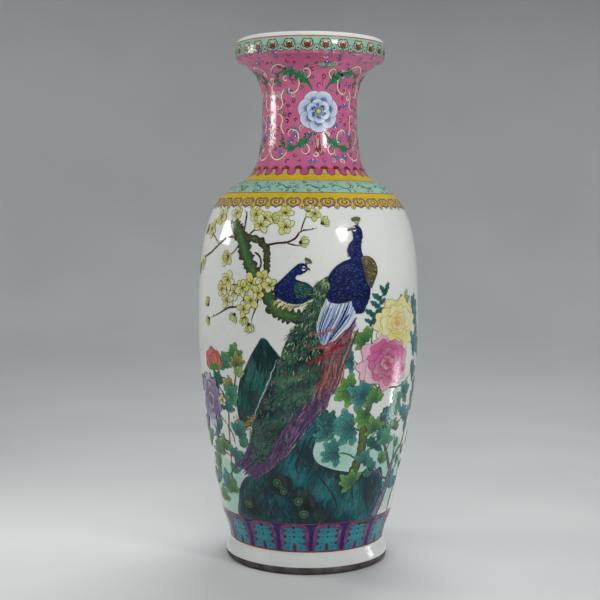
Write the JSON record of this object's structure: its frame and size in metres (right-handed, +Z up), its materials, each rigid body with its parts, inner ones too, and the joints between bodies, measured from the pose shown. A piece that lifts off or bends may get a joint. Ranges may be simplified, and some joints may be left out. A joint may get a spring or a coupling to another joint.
{
  "type": "porcelain vase",
  "caption": "Tall round baluster vase with a dish mouth, waisted neck, high shoulder and splayed foot ring, painted with birds and flowers.",
  "frame": {"origin": "centre of the foot ring, on the surface that the vase stands on", "axes": "+Z up along the vase's axis, -Y towards the painted front, +X to the right of the front"},
  "size_m": [0.2598, 0.2598, 0.61],
  "materials": {
    "glazed_porcelain": "clear glaze over white porcelain",
    "bare_porcelain": "unglazed biscuit, stained by handling",
    "fired_slip": "fired luting slip, matt",
    "enamel_rose": "opaque overglaze enamel",
    "enamel_yellow": "overglaze enamel",
    "enamel_turquoise": "opaque overglaze enamel",
    "enamel_green": "translucent overglaze enamel",
    "enamel_blue": "translucent overglaze enamel",
    "enamel_purple": "translucent overglaze enamel",
    "enamel_red": "iron-red overglaze enamel",
    "enamel_brown": "overglaze enamel",
    "enamel_white": "opaque white overglaze enamel",
    "enamel_outline": "drawn outline under the enamels"
  },
  "bodies": {
    "root": {"foot_ring": "glazed_porcelain", "lower_body": "glazed_porcelain", "upper_body": "glazed_porcelain", "neck": "glazed_porcelain", "mouth_collar": "glazed_porcelain", "slip_joint_foot": "fired_slip", "slip_joint_belly": "fired_slip", "slip_joint_neck": "fired_slip", "slip_joint_mouth": "fired_slip"}
  },
  "joints": []
}
